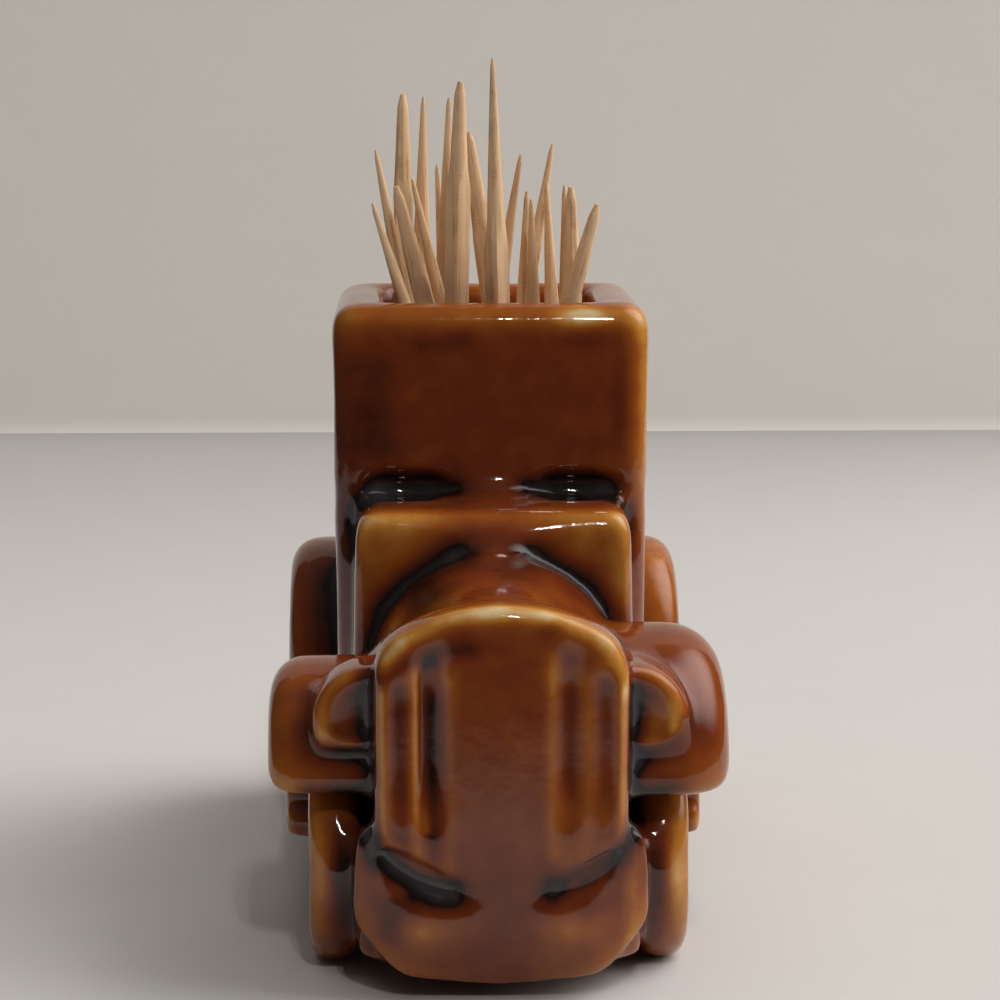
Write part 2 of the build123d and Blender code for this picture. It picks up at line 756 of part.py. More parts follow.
def axis_of(stick):
    """The way that a toothpick slides when it is drawn out."""
    run = Vector(stick.rim[0] - stick.foot[0], stick.rim[1] - stick.foot[1], well_drop)
    return run.normalized()


if __name__ == "__main__":
    os.makedirs("parts", exist_ok=True)
    body = car_body()
    print("car_body", len(body.solids()), body.is_valid, round(body.volume), body.bounding_box())
    export_step(body, "parts/car_body.step")
    pick = toothpick()
    print("toothpick", len(pick.solids()), pick.is_valid, round(pick.volume, 2))
    for number, stick in enumerate(settle(), 1):
        export_step(placed(pick, stick), f"parts/toothpick_{number:02d}.step")
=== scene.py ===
"""A glazed slip-cast vintage car that holds a bunch of wooden toothpicks, as a studio scene."""

import json
import math

import bpy
import numpy as np
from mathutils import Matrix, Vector, noise


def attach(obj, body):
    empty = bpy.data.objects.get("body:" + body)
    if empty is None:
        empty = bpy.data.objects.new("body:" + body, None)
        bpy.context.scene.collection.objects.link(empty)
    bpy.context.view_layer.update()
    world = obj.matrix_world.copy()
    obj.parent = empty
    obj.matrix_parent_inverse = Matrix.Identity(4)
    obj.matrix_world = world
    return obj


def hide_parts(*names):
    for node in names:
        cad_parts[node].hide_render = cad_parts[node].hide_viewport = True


bl_info = {
    "name": "Vintage car toothpick holder",
    "version": (1, 0, 0),
    "blender": (4, 5, 0),
    "location": "View3D > Sidebar > Holder",
    "description": "Dresses the holder's casting and toothpicks and sets the studio round them",
    "category": "Object",
}

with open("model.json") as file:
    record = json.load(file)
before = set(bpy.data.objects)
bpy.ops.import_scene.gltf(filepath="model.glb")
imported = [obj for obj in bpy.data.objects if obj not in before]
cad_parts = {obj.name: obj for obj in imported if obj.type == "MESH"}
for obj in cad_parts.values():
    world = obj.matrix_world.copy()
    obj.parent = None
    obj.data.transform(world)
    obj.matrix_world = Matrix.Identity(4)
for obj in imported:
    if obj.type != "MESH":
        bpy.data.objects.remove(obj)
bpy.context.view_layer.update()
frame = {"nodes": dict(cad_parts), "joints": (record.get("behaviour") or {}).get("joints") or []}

MM = 0.001
CASTING = "car_body"

# The depth of the deepest pools of glaze, in the scale of its thickness
DEEPEST = 1.25


# ---- settings ----

class CastingSettings(bpy.types.PropertyGroup):
    """Sizes of the casting's softened surface."""

    grain: bpy.props.FloatProperty(
        name="Surface grain", description="Size of the remeshed surface's faces",
        default=0.34 * MM, min=0.2 * MM, max=1.0 * MM, subtype="DISTANCE", unit="LENGTH", precision=5,
    )
    softening: bpy.props.IntProperty(
        name="Softening", description="Turns of smoothing that round the edges as slip and glaze do",
        default=22, min=0, max=120,
    )
    drowning: bpy.props.IntProperty(
        name="Drowning", description="More turns of smoothing where the glaze drowned the form",
        default=150, min=0, max=400,
    )
    waviness: bpy.props.FloatProperty(
        name="Waviness", description="Height of the slow waves in the glaze's surface",
        default=0.10 * MM, min=0.0, max=0.5 * MM, subtype="DISTANCE", unit="LENGTH", precision=5,
    )
    wave_length: bpy.props.FloatProperty(
        name="Wave length", description="Length of the slow waves",
        default=9.0 * MM, min=2.0 * MM, max=30.0 * MM, subtype="DISTANCE", unit="LENGTH", precision=4,
    )


class GlazeSettings(bpy.types.PropertyGroup):
    """Colours of the treacle glaze from where it is thinnest to where it pools, and the painted
    reflection in its deepest pools.
    """

    bare_edge: bpy.props.FloatVectorProperty(
        name="Thinnest", description="Colour where the pale clay shows through",
        default=(0.66, 0.50, 0.27), subtype="COLOR", min=0, max=1,
    )
    golden: bpy.props.FloatVectorProperty(
        name="Thin", description="Colour of thin glaze on edges and ribs",
        default=(0.50, 0.215, 0.036), subtype="COLOR", min=0, max=1,
    )
    amber: bpy.props.FloatVectorProperty(
        name="Middling", description="Colour of glaze of middling thickness",
        default=(0.30, 0.080, 0.010), subtype="COLOR", min=0, max=1,
    )
    treacle: bpy.props.FloatVectorProperty(
        name="Thick", description="Colour of thick glaze on broad faces",
        default=(0.160, 0.029, 0.007), subtype="COLOR", min=0, max=1,
    )
    pooled: bpy.props.FloatVectorProperty(
        name="Pooled", description="Colour where glaze fills a groove",
        default=(0.008, 0.0038, 0.0035), subtype="COLOR", min=0, max=1,
    )
    # painted reflection: the grey-blue of the deepest pools stands for the pale room mirrored in them
    deepest_pool_reflection: bpy.props.FloatVectorProperty(
        name="Deepest", description="Milky colour of the very deepest pools",
        default=(0.044, 0.039, 0.043), subtype="COLOR", min=0, max=1,
    )
    clay: bpy.props.FloatVectorProperty(
        name="Clay", description="Colour of the bare clay on the ground flats",
        default=(0.62, 0.52, 0.40), subtype="COLOR", min=0, max=1,
    )


class WoodSettings(bpy.types.PropertyGroup):
    """Colours and shape of the toothpicks."""

    pale: bpy.props.FloatVectorProperty(
        name="Pale wood", description="Colour of the early wood",
        default=(0.82, 0.57, 0.34), subtype="COLOR", min=0, max=1,
    )
    dark: bpy.props.FloatVectorProperty(
        name="Dark wood", description="Colour of the grain's lines",
        default=(0.40, 0.21, 0.10), subtype="COLOR", min=0, max=1,
    )
    roughen: bpy.props.FloatProperty(
        name="Roughness of cut", description="How far the split faces stray from flat",
        default=0.05 * MM, min=0.0, max=0.2 * MM, subtype="DISTANCE", unit="LENGTH", precision=6,
    )
    rings: bpy.props.IntProperty(
        name="Rings", description="Rings of points along one toothpick",
        default=130, min=20, max=400,
    )


class StageSettings(bpy.types.PropertyGroup):
    """The table, the wall and the lamps."""

    table: bpy.props.FloatVectorProperty(
        name="Table", description="Colour of the table",
        default=(0.61, 0.595, 0.575), subtype="COLOR", min=0, max=1,
    )
    wall: bpy.props.FloatVectorProperty(
        name="Wall", description="Colour of the wall",
        default=(0.96, 0.92, 0.87), subtype="COLOR", min=0, max=1,
    )
    # painted shade: the table's near end, dark only as the glaze mirrors it
    mirrored_near_shade: bpy.props.FloatVectorProperty(
        name="Near end", description="Colour of the table's near end as the glaze mirrors it",
        default=(0.015, 0.014, 0.013), subtype="COLOR", min=0, max=1,
    )
    wall_place: bpy.props.FloatProperty(
        name="Wall place", description="How far behind the middle of the car the wall stands",
        default=0.315, min=0.1, max=2.0, subtype="DISTANCE", unit="LENGTH",
    )
    window: bpy.props.FloatVectorProperty(
        name="Window", description="Colour of the window's soft light as the glaze mirrors it",
        default=(2.6, 2.5, 2.45), subtype="COLOR", min=0, max=4,
    )
    sky: bpy.props.FloatProperty(
        name="Room light", description="Strength of the light from all round",
        default=1.0, min=0, max=2,
    )
    dim_side: bpy.props.FloatVectorProperty(
        name="Walls of the room", description="Colour of the light that comes in level",
        default=(0.045, 0.040, 0.036), subtype="COLOR", min=0, max=1,
    )
    beyond: bpy.props.FloatVectorProperty(
        name="Beyond the stage", description="Colour seen past the edges of the table and the wall",
        default=(0.56, 0.53, 0.50), subtype="COLOR", min=0, max=1,
    )
    bright_top: bpy.props.FloatVectorProperty(
        name="Ceiling of the room", description="Colour of the light from above",
        default=(0.09, 0.085, 0.08), subtype="COLOR", min=0, max=1,
    )


# ---- meshes ----

def joined(positions, faces, name):
    """A new object from points and faces."""
    mesh = bpy.data.meshes.new(name)
    mesh.from_pydata([tuple(p) for p in positions], [], faces)
    mesh.update()
    thing = bpy.data.objects.new(name, mesh)
    bpy.context.scene.collection.objects.link(thing)
    return thing


def points_of(mesh):
    """The mesh's points as an array."""
    flat = np.empty(len(mesh.vertices) * 3, np.float32)
    mesh.vertices.foreach_get("co", flat)
    return flat.reshape(-1, 3).astype(np.float64)


def put_points(mesh, points):
    """Moves the mesh's points to new places, given in millimetres."""
    mesh.vertices.foreach_set("co", (points * MM).astype(np.float32).ravel())
    mesh.update()


def shade_smooth(mesh):
    """Turns on smooth shading all over the mesh."""
    mesh.polygons.foreach_set("use_smooth", np.ones(len(mesh.polygons), bool))


def normals_of(mesh):
    """The points' normals as an array."""
    flat = np.empty(len(mesh.vertices) * 3, np.float32)
    mesh.vertex_normals.foreach_get("vector", flat)
    return flat.reshape(-1, 3).astype(np.float64)


class Surface:
    """A mesh's edges, kept for smoothing whatever lies on its points."""

    def __init__(self, mesh):
        flat = np.empty(len(mesh.edges) * 2, np.int32)
        mesh.edges.foreach_get("vertices", flat)
        ends = flat.reshape(-1, 2)
        self.starts = np.concatenate([ends[:, 0], ends[:, 1]])
        self.stops = np.concatenate([ends[:, 1], ends[:, 0]])
        self.count = len(mesh.vertices)
        self.degree = np.bincount(self.starts, minlength=self.count).astype(np.float64)

    def mean_round(self, values):
        """Each point's neighbours' mean."""
        sums = np.bincount(self.starts, weights=values[self.stops], minlength=self.count)
        return sums / self.degree

    def smooth(self, values, turns, share=0.5):
        """Values smoothed over the surface a number of turns."""
        if values.ndim == 2:
            return np.stack([self.smooth(column, turns, share) for column in values.T], 1)
        for _ in range(turns):
            values = values + share * (self.mean_round(values) - values)
        return values


def ramp(values, start, end):
    """0 before start, 1 after end, and smooth between."""
    t = np.clip((values - start) / (end - start), 0, 1)
    return t * t * (3 - 2 * t)


def store(mesh, name, values):
    """Keeps a value for each point on the mesh."""
    layer = mesh.attributes.new(name, "FLOAT", "POINT")
    layer.data.foreach_set("value", values.astype(np.float32))


def waves(points, length, seed):
    """Slow random waves, about -1 to 1, at each point; each seed has its own part of the noise."""
    shift = Vector([seed * step for step in (7.3, 3.1, 5.7)])
    return np.array([noise.noise(Vector(p) / length + shift) for p in points])


# ---- shader helpers ----

def new_material(name):
    """An empty material with its output and Principled shader."""
    material = bpy.data.materials.new(name)
    material.use_nodes = True
    nodes = material.node_tree.nodes
    nodes.clear()
    output = nodes.new("ShaderNodeOutputMaterial")
    shader = nodes.new("ShaderNodeBsdfPrincipled")
    material.node_tree.links.new(shader.outputs["BSDF"], output.inputs["Surface"])
    return material, shader


def add(tree, kind, inputs=None, **settings):
    """A new node with its settings and input values or links."""
    node = tree.nodes.new(kind)
    for key, value in settings.items():
        setattr(node, key, value)
    for key, value in (inputs or {}).items():
        if isinstance(value, bpy.types.NodeSocket):
            tree.links.new(value, node.inputs[key])
        else:
            node.inputs[key].default_value = value
    return node


def maths(tree, operation, first, second=0.0, clamp=False):
    """The result of a Math node."""
    node = add(tree, "ShaderNodeMath", {0: first, 1: second}, operation=operation, use_clamp=clamp)
    return node.outputs[0]


def weighted(tree, parts):
    """The sum of values, each times its share."""
    total = None
    for value, share in parts:
        part = maths(tree, "MULTIPLY", value, share)
        total = part if total is None else maths(tree, "ADD", total, part)
    return total


def fade(tree, value, start, end):
    """0 before start, 1 after end, and smooth between."""
    reach = {"Value": value, "From Min": start, "From Max": end}
    return add(tree, "ShaderNodeMapRange", reach, interpolation_type="SMOOTHSTEP").outputs[0]


def new_group(name, inputs, outputs):
    """A shader node group with named sockets, and its input and output nodes."""
    group = bpy.data.node_groups.new(name, "ShaderNodeTree")
    for label, kind, default in inputs:
        socket = group.interface.new_socket(label, in_out="INPUT", socket_type=kind)
        socket.default_value = default
    for label, kind in outputs:
        group.interface.new_socket(label, in_out="OUTPUT", socket_type=kind)
    return group, group.nodes.new("NodeGroupInput"), group.nodes.new("NodeGroupOutput")


def speckle_group():
    """Patches and fine specks of a chosen size, for glaze, wood and table alike."""
    name = "Patches and specks"
    if name in bpy.data.node_groups:
        return bpy.data.node_groups[name]
    group, inside, outside = new_group(
        name,
        [("Place", "NodeSocketVector", (0, 0, 0)), ("Patch size", "NodeSocketFloat", 0.004),
         ("Speck size", "NodeSocketFloat", 0.0006)],
        [("Patches", "NodeSocketFloat"), ("Specks", "NodeSocketFloat")],
    )
    for label, size, detail in (("Patches", "Patch size", 3.0), ("Specks", "Speck size", 2.0)):
        scale = maths(group, "DIVIDE", 1.0, inside.outputs[size])
        texture = add(group, "ShaderNodeTexNoise", {
            "Vector": inside.outputs["Place"], "Scale": scale, "Detail": detail, "Roughness": 0.55,
        })
        group.links.new(texture.outputs[0], outside.inputs[label])
    return group


def place_speckles(tree, place, patch, speck):
    """The group of patches and specks in a material."""
    node = tree.nodes.new("ShaderNodeGroup")
    node.node_tree = speckle_group()
    tree.links.new(place, node.inputs["Place"])
    node.inputs["Patch size"].default_value = patch
    node.inputs["Speck size"].default_value = speck
    return node


def colours(tree, factor, stops):
    """A colour ramp with its stops given as place and colour."""
    node = add(tree, "ShaderNodeValToRGB", {"Fac": factor})
    elements = node.color_ramp.elements
    while len(elements) < len(stops):
        elements.new(0.5)
    for element, (place, colour) in zip(elements, stops):
        element.position = place
        element.color = (*colour, 1)
    return node.outputs["Color"]


def mixed(tree, factor, first, second):
    """A blend of two colours."""
    node = add(tree, "ShaderNodeMix", data_type="RGBA")
    for socket, value in ((node.inputs[0], factor), (node.inputs[6], first), (node.inputs[7], second)):
        if isinstance(value, bpy.types.NodeSocket):
            tree.links.new(value, socket)
        elif socket == node.inputs[0]:
            socket.default_value = value
        else:
            socket.default_value = (*value, 1)
    return node.outputs[2]


def attribute(tree, name):
    """A value kept on the mesh's points."""
    return add(tree, "ShaderNodeAttribute", attribute_name=name, attribute_type="GEOMETRY")


def glaze_material(settings):
    """Treacle glaze over pale clay, coloured by how thick it lies, with painted shade, painted light and
    painted reflections carried in that colour.
    """
    material, shader = new_material("treacle_glaze")
    tree = material.node_tree
    patch_size, speck_size = 2.6 * MM, 0.45 * MM
    patch_drift, speck_drift = 0.22, 0.04
    plain_rough, clay_rough, speck_rough = 0.07, 0.7, 0.03
    place = add(tree, "ShaderNodeTexCoord").outputs["Object"]
    speckles = place_speckles(tree, place, patch_size, speck_size)
    patches = maths(tree, "SUBTRACT", speckles.outputs["Patches"], 0.5)
    specks = maths(tree, "SUBTRACT", speckles.outputs["Specks"], 0.5)
    # the thickness carries the patches' painted shade, painted light and painted reflection as well
    depth = attribute(tree, "glaze_depth_and_painted_light").outputs["Fac"]
    uneven = weighted(tree, ((depth, 1.0), (patches, patch_drift), (specks, speck_drift)))
    thick = maths(tree, "DIVIDE", uneven, DEEPEST, clamp=True)
    # the last stop paints the grey-blue reflection of the pale room into the deepest pools
    colour = colours(tree, thick, [
        (0.016, settings.bare_edge), (0.144, settings.golden), (0.288, settings.amber),
        (0.47, settings.treacle), (0.71, settings.pooled), (1.0, settings.deepest_pool_reflection),
    ])
    bare = attribute(tree, "bare_clay").outputs["Fac"]
    tree.links.new(mixed(tree, bare, colour, settings.clay), shader.inputs["Base Color"])
    extra = weighted(tree, ((bare, clay_rough), (specks, speck_rough)))
    tree.links.new(maths(tree, "ADD", extra, plain_rough), shader.inputs["Roughness"])
    shader.inputs["IOR"].default_value = 1.52
    bump = add(tree, "ShaderNodeBump", {
        "Height": speckles.outputs["Patches"], "Strength": 0.10, "Distance": 0.35 * MM,
    })
    tree.links.new(bump.outputs["Normal"], shader.inputs["Normal"])
    return material


def wood_material(settings):
    """Dry split birch with its grain along each toothpick."""
    material, shader = new_material("split_birch")
    tree = material.node_tree
    line_width, fibre_width = 0.55 * MM, 0.10 * MM
    blotch_size, pore_size = 3.5 * MM, 0.16 * MM
    stretch, darkest_stick = 0.03, 0.35
    place = attribute(tree, "grain_place").outputs["Vector"]
    drawn_out = {"Vector": place, "Scale": (1.0, 1.0, stretch)}
    fibres = add(tree, "ShaderNodeMapping", drawn_out).outputs["Vector"]
    lines = place_speckles(tree, fibres, line_width, fibre_width).outputs
    blotches = place_speckles(tree, place, blotch_size, pore_size).outputs
    streak = weighted(tree, ((lines["Patches"], 0.65), (lines["Specks"], 0.35)))
    tint = weighted(tree, ((streak, 0.62), (blotches["Patches"], 0.20), (blotches["Specks"], 0.18)))
    colour = colours(tree, tint, [
        (0.36, settings.dark), (0.50, settings.pale), (0.72, settings.pale),
    ])
    shade = attribute(tree, "stick_tone").outputs["Fac"]
    toned = mixed(tree, maths(tree, "MULTIPLY", shade, darkest_stick), colour, settings.dark)
    tree.links.new(toned, shader.inputs["Base Color"])
    shader.inputs["Roughness"].default_value = 0.72
    shader.inputs["IOR"].default_value = 1.45
    bump = add(tree, "ShaderNodeBump", {"Height": streak, "Strength": 0.55, "Distance": 0.12 * MM})
    tree.links.new(bump.outputs["Normal"], shader.inputs["Normal"])
    return material


def stage_material(name, colour, near):
    """A plain pale surface with the faintest unevenness, with painted shade on its near end that shows
    only in the glaze's reflections.
    """
    material, shader = new_material(name)
    tree = material.node_tree
    patch_size, speck_size, darkest = 14 * MM, 0.8 * MM, 0.93
    near_start, near_full = -0.10, -0.16
    place = add(tree, "ShaderNodeTexCoord").outputs["Object"]
    speckles = place_speckles(tree, place, patch_size, speck_size).outputs
    uneven = weighted(tree, ((speckles["Patches"], 0.5), (speckles["Specks"], 0.5)))
    darker = tuple(channel * darkest for channel in colour)
    pale = mixed(tree, uneven, darker, tuple(colour))
    # painted shade on the table's near end, seen only by glossy rays
    along = add(tree, "ShaderNodeSeparateXYZ", {"Vector": place}).outputs["Y"]
    share = fade(tree, along, near_start, near_full)
    in_glaze = add(tree, "ShaderNodeLightPath").outputs["Is Glossy Ray"]
    mirrored = maths(tree, "MULTIPLY", share, in_glaze)
    tree.links.new(mixed(tree, mirrored, pale, near), shader.inputs["Base Color"])
    shader.inputs["Roughness"].default_value = 0.8
    return material


# ---- the casting ----

def remeshed(source, grain):
    """A copy of a solid's mesh made of even small faces."""
    thing = source.copy()
    thing.data = source.data.copy()
    thing.parent = None
    thing.modifiers.clear()
    bpy.context.scene.collection.objects.link(thing)
    modifier = thing.modifiers.new("even", "REMESH")
    modifier.mode = "VOXEL"
    modifier.voxel_size = grain
    evaluated = thing.evaluated_get(bpy.context.evaluated_depsgraph_get())
    mesh = bpy.data.meshes.new_from_object(evaluated)
    bpy.data.objects.remove(thing)
    return mesh


# How thick the glaze lies on a flat face, and the turns of smoothing that let it flow
FLAT_DEPTH = 0.55
FLOW_TURNS = 22

# How relief thins or gathers the glaze, from fine to broad: the turns of smoothing that level it,
# then for edges and for hollows where the effect begins and ends, in millimetres, and its share
RELIEF = (
    (22, (0.04, 0.48, 0.16), (0.02, 0.30, 0.14)),
    (110, (0.10, 1.00, 0.24), (0.06, 0.65, 0.27)),
    (420, (0.30, 2.20, 0.12), (0.20, 1.60, 0.13)),
)

# Turns that even out the surface after its waves, and that blend the glaze's thickness
LAST_TURNS = 8
BLEND_TURNS = 2

# How far up the bare clay of the ground flats reaches, and where the waves begin
FOOT_EDGE = (0.12, 0.45)
WAVES_BEGIN = (0.3, 2.0)

# The radiator's front, its grille's panel and the slots under it, in millimetres
RADIATOR_FRONT = -42.6
PANEL_FRONT = -42.35
PANEL_BACK = -38.0
PANEL_HALF = 9.8
PANEL_TOP = 32.0
PANEL_SUNK = 0.42
GROOVES_RUN_OUT = (12.0, 21.0)
GROOVE_BACK = -40.8
GROOVE_SHIFT = 0.8
GROOVE_MIDDLE = -7.2
GROOVE_SPREAD = 2.2
SLOT_FOOT = 8.0
SLOT_TOP = 10.1
SLOT_RIM = 0.3
SLOT_SLOPE = 0.5
SLOT_LEVEL_HALF = 2.0
SLOT_HALF = 12.6
SLOT_FRONT = -42.2
SLOT_BEND = 1.3
SLOT_BACK = -37.5
SLOT_DEPTH_LEFT = 0.75
SLOT_DEPTH_RIGHT = 0.25

# Where the glaze came out thinner (less than 0) or thicker than the form alone would make it,
# and where a patch paints shade, light or a reflection into its colour: the patch's middle and how
# far it spreads along X, Y and Z, in millimetres, and the change
PATCHES = (
    ((-0.8, -42.4, 34.0), (2.0, 2.0, 0.9), -0.22),
    ((3.5, -42.4, 33.6), (1.6, 2.0, 0.7), -0.16),
    # painted shade: thicker, darker glaze down the cab's left side and the left part of its face
    ((-15.0, -4.0, 42.0), (2.4, 9.0, 16.0), 0.26),
    ((-11.2, -8.0, 45.5), (2.3, 2.0, 7.5), 0.21),
    ((0.0, -8.0, 46.0), (9.0, 2.0, 7.0), 0.05),
    ((8.0, -8.0, 53.0), (3.5, 2.0, 0.8), 0.10),
    ((12.0, -8.0, 47.0), (0.9, 2.0, 5.0), 0.12),
    ((0.0, -8.0, 55.0), (13.0, 2.0, 1.0), -0.12),
    ((8.5, -8.0, 55.5), (2.3, 1.6, 1.0), -0.50),
    # paler right edge of the cab: partly thin glaze on the edge, partly painted light from the right
    ((14.8, -7.0, 46.0), (1.2, 3.0, 12.0), -0.26),
    ((-8.5, -17.0, 35.0), (4.0, 3.5, 4.0), -0.26),
    ((7.5, -17.0, 35.0), (4.0, 3.5, 3.0), -0.24),
    ((11.5, -17.0, 31.0), (1.6, 3.0, 5.0), -0.24),
    ((0.0, -17.0, 35.5), (2.6, 4.0, 3.5), 0.10),
    ((1.5, -25.0, 34.6), (2.6, 4.0, 1.5), 0.22),
    # painted shade: darker glaze on the bonnet's left side
    ((-6.6, -27.0, 32.4), (3.0, 6.0, 2.2), 0.40),
    ((7.5, -24.0, 33.0), (2.0, 4.0, 1.5), 0.12),
    # painted reflection: a pale cream patch on the bonnet's left shoulder
    ((-9.6, -27.0, 30.6), (1.4, 4.0, 1.4), -0.50),
    ((-18.4, -37.0, 26.0), (1.6, 3.0, 2.4), -0.42),
    ((17.6, -37.0, 23.0), (1.9, 3.0, 2.4), 0.15),
    ((-14.5, -39.0, 26.0), (2.0, 2.0, 1.5), 0.16),
    ((13.6, -39.0, 26.0), (1.6, 2.0, 1.6), 0.18),
    ((12.5, -39.0, 22.5), (1.6, 2.0, 1.2), -0.22),
    ((-7.0, -42.0, 6.5), (2.2, 3.0, 1.2), -0.24),
    ((-9.4, -42.0, 6.8), (1.3, 3.0, 1.8), 0.30),
    ((6.0, -42.0, 6.5), (3.0, 3.0, 1.2), -0.20),
    ((0.0, -42.0, 8.0), (3.0, 4.0, 6.0), 0.10),
    ((11.2, -41.0, 9.0), (0.8, 3.0, 4.0), -0.26),
    ((5.7, -42.6, 20.0), (0.9, 1.5, 11.0), -0.26),
    ((8.6, -42.6, 20.0), (0.9, 1.5, 11.0), -0.26),
    ((-8.8, -42.6, 20.0), (0.8, 1.5, 11.0), -0.14),
    ((-13.8, -39.0, 23.8), (1.5, 3.0, 1.9), -0.28),
    ((13.8, -39.0, 23.6), (1.6, 3.0, 2.2), -0.60),
    # painted shade on the car's left flank, and painted light on its right flank
    ((-15.5, 20.0, 25.0), (4.0, 9.0, 12.0), 0.28),
    ((17.0, 20.0, 25.0), (3.0, 9.0, 12.0), -0.20),
    ((14.5, -41.0, 27.4), (2.0, 2.0, 0.9), -0.22),
    ((-15.6, -36.0, 9.0), (1.3, 4.0, 6.5), -0.16),
    ((15.6, -36.0, 9.0), (1.3, 4.0, 6.5), -0.24),
    ((-7.0, -9.5, 39.2), (4.0, 2.5, 1.6), -0.22),
    ((7.0, -9.5, 39.2), (4.0, 2.5, 1.6), -0.22),
    ((-6.8, -42.0, 8.9), (3.8, 3.0, 1.1), 0.17),
    ((6.8, -42.0, 8.9), (3.8, 3.0, 1.1), 0.15),
    ((-5.8, -42.3, 28.6), (1.4, 2.0, 1.8), -0.30),
    ((5.8, -42.3, 28.6), (1.4, 2.0, 1.8), -0.20),
    ((-6.5, -42.6, 20.0), (0.9, 1.5, 12.0), -0.20),
)

# Where it ran into a seam or drew back from an edge: how wide, the change, and the line's points
STREAKS = (
    (1.0, 0.36, ((-11.4, -40, 29), (-11.3, -40, 15))),
    (0.9, 0.42, ((-16.8, -39, 21.0), (-11.4, -39, 20.2))),
    (1.0, 0.44, ((-16.2, -37, 16.8), (-11.4, -37, 16.8))),
    (1.1, 0.48, ((-13.6, -38, 16.0), (-13.8, -38, 3.0))),
    (1.1, 0.55, ((-11.8, -41, 15), (-11.0, -41, 13), (-9.2, -41, 11.5), (-7.0, -41, 10.3),
                 (-4, -41, 9.8))),
    (1.2, 0.36, ((11.6, -41, 15), (10.0, -41, 12.6), (7.5, -41, 11.4), (4.2, -41, 10.2))),
    (0.9, 0.40, ((11.3, -40, 26), (11.3, -40, 15))),
    (0.9, 0.40, ((11.9, -39, 20), (15.3, -39, 21.6), (16.6, -39, 23.5))),
    (1.0, 0.36, ((11.8, -37, 16.6), (15.3, -37, 17.4))),
    (1.0, 0.44, ((13.7, -38, 16.0), (13.7, -38, 3.5))),
    (0.9, 0.40, ((-17.0, -38, 25.4), (-16.9, -38, 22.0))),
    (0.8, 0.24, ((-10.4, -42, 28), (-8.2, -42, 29.6), (-6.0, -42, 30.7), (-2.6, -42, 30.9))),
    (0.9, -0.16, ((-10.2, -42, 30), (-8.0, -42, 32), (-5.5, -42, 33.4), (0, -42, 34.3), (5, -42, 33.6),
                  (9, -42, 31), (10.6, -42, 27))),
    (0.6, -0.24, ((-10.2, -42.6, 27), (-10.1, -42.6, 11), (-8, -42.6, 10))),
    (0.6, -0.22, ((10.3, -42.6, 27), (10.3, -42.6, 13), (6, -42.6, 10.4))),
    (0.5, -0.12, ((-7.1, -42.6, 27), (-7.1, -42.6, 11))),
    (0.6, -0.10, ((-4.5, -42.6, 28), (-4.5, -42.6, 11))),
    (0.6, -0.22, ((4.3, -42.6, 30), (4.3, -42.6, 13))),
    (0.5, -0.12, ((7.1, -42.6, 28), (7.1, -42.6, 12))),
    (1.5, 0.14, ((-2.4, -9, 39.2), (-5, -9, 39.6), (-9, -9, 39.0), (-12.2, -11, 37.2),
                 (-12.9, -12, 33))),
    (1.4, 0.14, ((2.8, -9, 39.4), (7, -9, 39.6), (11, -9, 38.8), (12.6, -11, 36.5), (13.1, -12, 31))),
    (1.1, 0.30, ((-2.2, -19, 34.8), (-5, -19, 34.2), (-8, -19, 32.2), (-10.4, -19, 29),
                 (-11.4, -19, 25.5))),
    (1.1, 0.26, ((2.2, -19, 35.0), (5.5, -19, 34.2), (8.8, -19, 31.8), (11, -19, 29), (12.6, -19, 27))),
    (0.8, 0.16, ((-6.6, -8.5, 52.6), (-2.8, -8.5, 52.9))),
    (0.4, -0.20, ((13.9, -12, 36), (13.9, -12, 28))),
    (0.7, 0.20, ((-5.8, -42.6, 27), (-5.7, -42.6, 13))),
    (0.6, 0.10, ((-8.5, -42.6, 27), (-8.4, -42.6, 13))),
    (0.6, 0.10, ((5.8, -42.6, 28), (5.8, -42.6, 13))),
    (0.5, 0.10, ((8.4, -42.6, 28), (8.4, -42.6, 13))),
    (1.0, 0.46, ((-10.5, -9, 39.2), (-11.8, -10, 38.2), (-12.8, -11.5, 36.2), (-13.3, -12, 33.6))),
    (0.9, 0.36, ((11.0, -9, 39.0), (12.4, -10.5, 37.4), (13.3, -12, 34.5), (13.4, -12, 31))),
    (0.6, -0.30, ((-16.4, -39.5, 22.4), (-11.7, -39.5, 21.6))),
    (0.6, -0.28, ((11.4, -39.5, 21.4), (15.7, -39.5, 23.0))),
)

# Where the drowned windscreen fades out: at its sides, foot and top, and behind it
SCREEN_SIDES = (11.0, 13.0)
SCREEN_FOOT = (41.0, 42.5)
SCREEN_TOP = (53.0, 54.5)
SCREEN_BACK = (-7.0, -5.0)

# Where else the glaze drowned the form: the middle, the spread and the share of the drowned form
DROWNED = (
    ((0.0, -17.5, 37.6), (13.0, 4.0, 1.6), 0.9),
    ((0.0, -10.0, 38.0), (3.0, 4.0, 3.0), 0.8),
    ((0.0, -20.0, 34.6), (4.0, 5.0, 2.6), 0.9),
    ((0.0, -42.0, 10.4), (13.0, 4.5, 2.6), 1.0),
    ((0.0, -42.0, 20.0), (12.0, 2.5, 12.0), 0.45),
    ((14.0, -40.0, 24.0), (2.6, 3.0, 3.0), 0.9),
    ((-14.0, -40.0, 24.0), (2.6, 3.0, 3.0), 0.9),
    ((0.0, -42.0, 30.0), (11.0, 3.0, 2.0), 0.9),
    ((0.0, -42.0, 14.0), (12.0, 3.0, 2.4), 1.0),
    ((0.0, -29.0, 34.6), (4.0, 9.0, 2.0), 0.9),
    ((-15.6, -36.0, 10.0), (3.0, 3.0, 4.0), 0.8),
    ((15.6, -36.0, 10.0), (3.0, 3.0, 4.0), 0.8),
)


